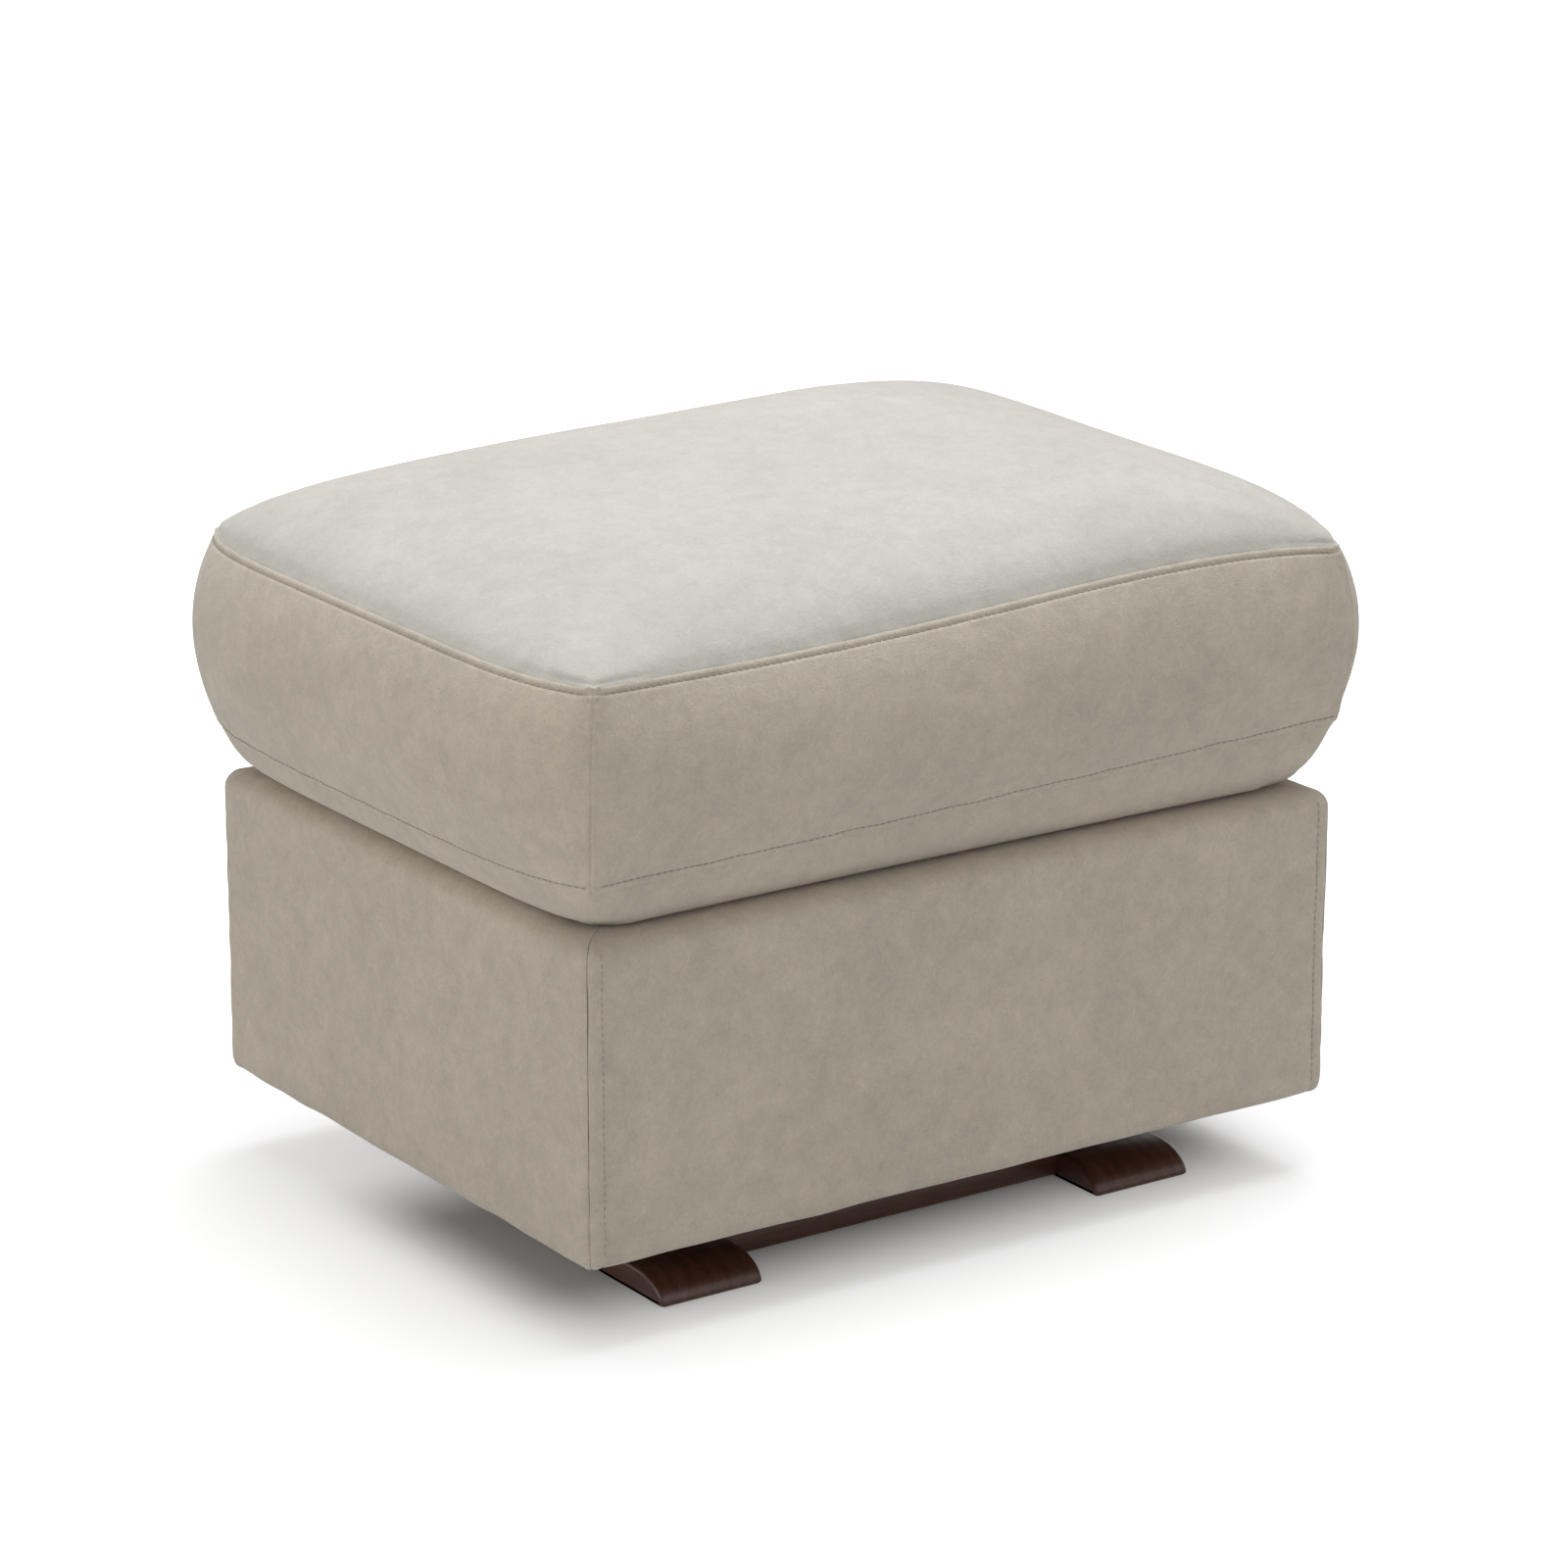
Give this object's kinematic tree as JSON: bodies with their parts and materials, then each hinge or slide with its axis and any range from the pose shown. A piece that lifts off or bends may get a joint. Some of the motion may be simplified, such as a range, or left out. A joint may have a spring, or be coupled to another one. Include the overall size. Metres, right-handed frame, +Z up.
{
  "type": "glider ottoman",
  "caption": "Gliding ottoman: an upholstered box with a loose crowned cushion, hung on swing arms so that it glides level over a low dark wooden base.",
  "frame": {"origin": "on the floor, under the middle of the ottoman", "axes": "+X along the long side, +Y to the rear, +Z up; the front is at -Y"},
  "size_m": [0.649, 0.487, 0.475],
  "materials": {
    "cushion_fabric": "matte",
    "box_fabric": "matte",
    "dark_wood": "satin",
    "beech": "matte",
    "pine": "matte",
    "plywood": "matte",
    "black_steel": "satin",
    "zinc_steel": "satin",
    "bearing_steel": "polished",
    "spring_steel": "satin",
    "rubber": "matte",
    "foam": "matte",
    "wadding": "matte",
    "deck_cloth": "matte",
    "touch_tape": "matte"
  },
  "bodies": {
    "base": {"left_runner": "dark_wood", "right_runner": "dark_wood", "front_stretcher": "dark_wood", "rear_stretcher": "dark_wood", "stretcher_dowels": "beech", "left_glide_bracket": "black_steel", "right_glide_bracket": "black_steel", "bracket_screws": "zinc_steel", "travel_stops": "rubber", "upper_pivot_bolts": "zinc_steel", "upper_spacers": "zinc_steel", "upper_pivot_washers": "zinc_steel", "upper_lock_nuts": "zinc_steel", "upper_inner_rings": "bearing_steel"},
    "front_left_swing": {"front_left_arm": "black_steel", "front_left_bearings": "bearing_steel"},
    "front_right_swing": {"front_right_arm": "black_steel", "front_right_bearings": "bearing_steel"},
    "rear_left_swing": {"rear_left_arm": "black_steel", "rear_left_bearings": "bearing_steel"},
    "rear_right_swing": {"rear_right_arm": "black_steel", "rear_right_bearings": "bearing_steel"},
    "seat": {"left_glide_rail": "pine", "right_glide_rail": "pine", "rail_screws": "zinc_steel", "lower_pivot_bolts": "zinc_steel", "lower_spacers": "zinc_steel", "lower_pivot_washers": "zinc_steel", "lower_lock_nuts": "zinc_steel", "lower_inner_rings": "bearing_steel", "front_board": "plywood", "rear_board": "plywood", "left_board": "plywood", "right_board": "plywood", "corner_blocks": "pine", "deck_springs": "spring_steel", "spring_clips": "zinc_steel", "deck_pad": "foam", "deck_sheet": "deck_cloth", "front_padding": "wadding", "rear_padding": "wadding", "left_padding": "wadding", "right_padding": "wadding", "front_cover": "box_fabric", "rear_cover": "box_fabric", "left_cover": "box_fabric", "right_cover": "box_fabric", "cover_staples": "zinc_steel", "deck_loop_strips": "touch_tape", "cushion_hook_strips": "touch_tape", "cushion_foam": "foam", "cushion_wrap": "wadding", "cushion_top_panel": "cushion_fabric", "cushion_front_band": "cushion_fabric", "cushion_rear_band": "cushion_fabric", "cushion_left_band": "cushion_fabric", "cushion_right_band": "cushion_fabric", "cushion_underside": "cushion_fabric"}
  },
  "joints": [
    {"name": "glide", "type": "hinge", "parent": "base", "child": "front_left_swing", "pos_m": [-0.1505, -0.095, 0.205], "axis": [1, 0, 0], "range_deg": [-25, 25]},
    {"name": "front_right_pivot", "type": "hinge", "parent": "base", "child": "front_right_swing", "pos_m": [0.1505, -0.095, 0.205], "axis": [1, 0, 0], "range_deg": [-25, 25]},
    {"name": "rear_left_pivot", "type": "hinge", "parent": "base", "child": "rear_left_swing", "pos_m": [-0.1505, 0.095, 0.205], "axis": [1, 0, 0], "range_deg": [-25, 25]},
    {"name": "rear_right_pivot", "type": "hinge", "parent": "base", "child": "rear_right_swing", "pos_m": [0.1505, 0.095, 0.205], "axis": [1, 0, 0], "range_deg": [-25, 25]},
    {"name": "seat_pivot", "type": "hinge", "parent": "front_left_swing", "child": "seat", "pos_m": [-0.1505, -0.095, 0.085], "axis": [1, 0, 0], "range_deg": [-25, 25]}
  ],
  "couplings": [
    {"joint": "front_right_pivot", "follows": "glide", "ratio": 1},
    {"joint": "rear_left_pivot", "follows": "glide", "ratio": 1},
    {"joint": "rear_right_pivot", "follows": "glide", "ratio": 1},
    {"joint": "seat_pivot", "follows": "glide", "ratio": -1}
  ]
}
